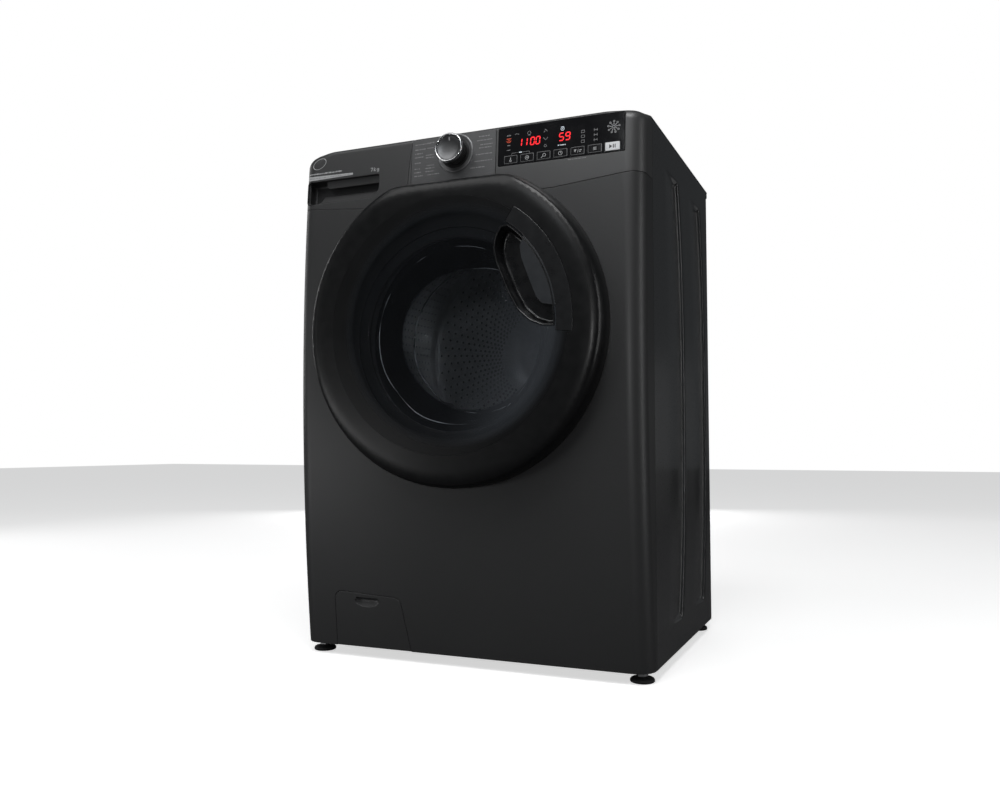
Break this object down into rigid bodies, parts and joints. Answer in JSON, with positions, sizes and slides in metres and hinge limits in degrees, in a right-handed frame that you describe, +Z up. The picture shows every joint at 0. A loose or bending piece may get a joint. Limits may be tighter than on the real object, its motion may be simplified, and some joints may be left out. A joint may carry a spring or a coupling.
{
  "type": "front load washing machine",
  "caption": "Free-standing front load washing machine with round porthole door, detergent drawer, programme dial, display keys, sprung tub, belt-driven drum and levelling feet.",
  "frame": {"origin": "on the floor, under the middle of the machine's bounding box", "axes": "+Z up, +X to the machine's left as it faces the user (the viewer's right), -Y towards the user, out of the door"},
  "size_m": [0.6, 0.57, 0.85],
  "materials": {
    "graphite_paint": "satin",
    "graphite_fascia": "satin",
    "black_side_paint": "satin",
    "rear_sheet": "matte",
    "worktop": "satin",
    "black_plastic": "matte",
    "gloss_black": "gloss",
    "smoked_window": "gloss",
    "bowl_glass": "gloss",
    "display": "gloss",
    "silver_key": "satin",
    "dial": "satin",
    "grey_plastic": "satin",
    "tub_plastic": "matte",
    "gasket_rubber": "matte",
    "black_rubber": "matte",
    "foot_steel": "matte",
    "stainless": "satin",
    "zinc_steel": "satin",
    "cast_alloy": "matte",
    "concrete": "matte"
  },
  "bodies": {
    "cabinet": {"left_side_panel": "black_side_paint", "right_side_panel": "black_side_paint", "rear_panel": "rear_sheet", "top_cover": "worktop", "base_tray": "black_plastic", "front_panel": "graphite_paint", "control_panel": "graphite_fascia", "dial_plate": "graphite_fascia", "display_window": "display", "control_board": "black_plastic", "drawer_housing": "tub_plastic", "door_hinge": "zinc_steel", "door_lock": "black_plastic", "door_gasket": "gasket_rubber", "damper_cylinder_left": "black_plastic", "damper_cylinder_right": "black_plastic", "suspension_spring_left": "zinc_steel", "suspension_spring_right": "zinc_steel", "drain_pump": "tub_plastic", "sump_hose": "black_rubber", "inlet_valve": "tub_plastic"},
    "door": {"door_frame": "gloss_black", "door_window": "smoked_window", "handle_recess": "gloss_black", "door_inner_ring": "grey_plastic", "door_glass": "bowl_glass"},
    "door_lever": {"door_handle": "gloss_black"},
    "latch": {"latch_hook": "zinc_steel"},
    "drawer": {"drawer_front": "graphite_fascia", "drawer_tray": "grey_plastic"},
    "dial": {"dial_knob": "dial"},
    "flap": {"filter_flap": "graphite_fascia"},
    "filter": {"pump_filter": "grey_plastic"},
    "tub": {"tub_front": "tub_plastic", "tub_rear": "tub_plastic", "front_counterweight": "concrete", "top_counterweight": "concrete", "heater_element": "stainless", "motor": "cast_alloy", "drive_belt": "black_rubber", "damper_rod_left": "zinc_steel", "damper_rod_right": "zinc_steel"},
    "drum": {"drum_shell": "stainless", "drum_lifter_1": "grey_plastic", "drum_lifter_2": "grey_plastic", "drum_lifter_3": "grey_plastic", "drum_shaft": "cast_alloy", "drum_pulley": "cast_alloy"},
    "motor_rotor": {"motor_pulley": "zinc_steel"},
    "button_temperature": {"button_temperature": "gloss_black"},
    "button_spin_speed": {"button_spin_speed": "gloss_black"},
    "button_soil_level": {"button_soil_level": "gloss_black"},
    "button_delay_start": {"button_delay_start": "gloss_black"},
    "button_options": {"button_options": "gloss_black"},
    "button_extra_rinse": {"button_extra_rinse": "gloss_black"},
    "start_pause_button": {"start_pause_button": "silver_key"},
    "foot_front_left": {"foot_front_left": "foot_steel"},
    "foot_front_right": {"foot_front_right": "foot_steel"},
    "foot_rear_left": {"foot_rear_left": "foot_steel"},
    "foot_rear_right": {"foot_rear_right": "foot_steel"}
  },
  "joints": [
    {"name": "door_swing", "type": "hinge", "parent": "cabinet", "child": "door", "pos_m": [-0.245, -0.254, 0.533], "axis": [0, 0, -1], "range_deg": [0, 117]},
    {"name": "handle_pull", "type": "hinge", "parent": "door", "child": "door_lever", "pos_m": [0.1874, -0.2842, 0.62139], "axis": [-0.4266, 0, 0.9045], "range_deg": [0, 12], "stiffness_Nm_per_rad": 2, "springref_deg": -11.46},
    {"name": "latch_slide", "type": "slide", "parent": "door", "child": "latch", "axis": [-1, 0, 0], "range_m": [0, 0.0045]},
    {"name": "drawer_slide", "type": "slide", "parent": "cabinet", "child": "drawer", "axis": [0, -1, 0], "range_m": [0, 0.228]},
    {"name": "dial_turn", "type": "hinge", "parent": "cabinet", "child": "dial", "pos_m": [-0.007, -0.23303, 0.816], "axis": [0, -0.9976, 0.0696], "continuous": true},
    {"name": "flap_swing", "type": "hinge", "parent": "cabinet", "child": "flap", "pos_m": [-0.163, -0.2082, 0.021], "axis": [1, 0, 0], "range_deg": [0, 80]},
    {"name": "filter_turn", "type": "hinge", "parent": "cabinet", "child": "filter", "pos_m": [-0.165, -0.2, 0.062], "axis": [0, -1, 0], "range_deg": [0, 180]},
    {"name": "tub_bounce", "type": "slide", "parent": "cabinet", "child": "tub", "axis": [0, 0, 1], "range_m": [-0.006, 0.006], "stiffness_N_per_m": 15000, "springref_m": 0.02027, "deforming": ["suspension_spring_left", "suspension_spring_right", "sump_hose", "door_gasket"]},
    {"name": "drum_spin", "type": "hinge", "parent": "tub", "child": "drum", "pos_m": [0, 0, 0.522], "axis": [0, -1, 0], "continuous": true},
    {"name": "motor_spin", "type": "hinge", "parent": "tub", "child": "motor_rotor", "pos_m": [0.07, 0.199, 0.175], "axis": [0, -1, 0], "continuous": true},
    {"name": "button_temperature_press", "type": "slide", "parent": "cabinet", "child": "button_temperature", "axis": [0, 1, 0], "range_m": [0, 0.001], "stiffness_N_per_m": 300, "springref_m": -0.001},
    {"name": "button_spin_speed_press", "type": "slide", "parent": "cabinet", "child": "button_spin_speed", "axis": [0, 1, 0], "range_m": [0, 0.001], "stiffness_N_per_m": 300, "springref_m": -0.001},
    {"name": "button_soil_level_press", "type": "slide", "parent": "cabinet", "child": "button_soil_level", "axis": [0, 1, 0], "range_m": [0, 0.001], "stiffness_N_per_m": 300, "springref_m": -0.001},
    {"name": "button_delay_start_press", "type": "slide", "parent": "cabinet", "child": "button_delay_start", "axis": [0, 1, 0], "range_m": [0, 0.001], "stiffness_N_per_m": 300, "springref_m": -0.001},
    {"name": "button_options_press", "type": "slide", "parent": "cabinet", "child": "button_options", "axis": [0, 1, 0], "range_m": [0, 0.001], "stiffness_N_per_m": 300, "springref_m": -0.001},
    {"name": "button_extra_rinse_press", "type": "slide", "parent": "cabinet", "child": "button_extra_rinse", "axis": [0, 1, 0], "range_m": [0, 0.001], "stiffness_N_per_m": 300, "springref_m": -0.001},
    {"name": "start_pause_button_press", "type": "slide", "parent": "cabinet", "child": "start_pause_button", "axis": [0, 1, 0], "range_m": [0, 0.001], "stiffness_N_per_m": 300, "springref_m": -0.001},
    {"name": "foot_front_left_screw_out", "type": "slide", "parent": "cabinet", "child": "foot_front_left", "axis": [0, 0, -1], "range_m": [0, 0.01]},
    {"name": "foot_front_right_screw_out", "type": "slide", "parent": "cabinet", "child": "foot_front_right", "axis": [0, 0, -1], "range_m": [0, 0.01]},
    {"name": "foot_rear_left_screw_out", "type": "slide", "parent": "cabinet", "child": "foot_rear_left", "axis": [0, 0, -1], "range_m": [0, 0.01]},
    {"name": "foot_rear_right_screw_out", "type": "slide", "parent": "cabinet", "child": "foot_rear_right", "axis": [0, 0, -1], "range_m": [0, 0.01]}
  ],
  "couplings": [
    {"joint": "latch_slide", "follows": "handle_pull", "m_per_rad": 0.019},
    {"joint": "motor_spin", "follows": "drum_spin", "ratio": 13.8}
  ]
}
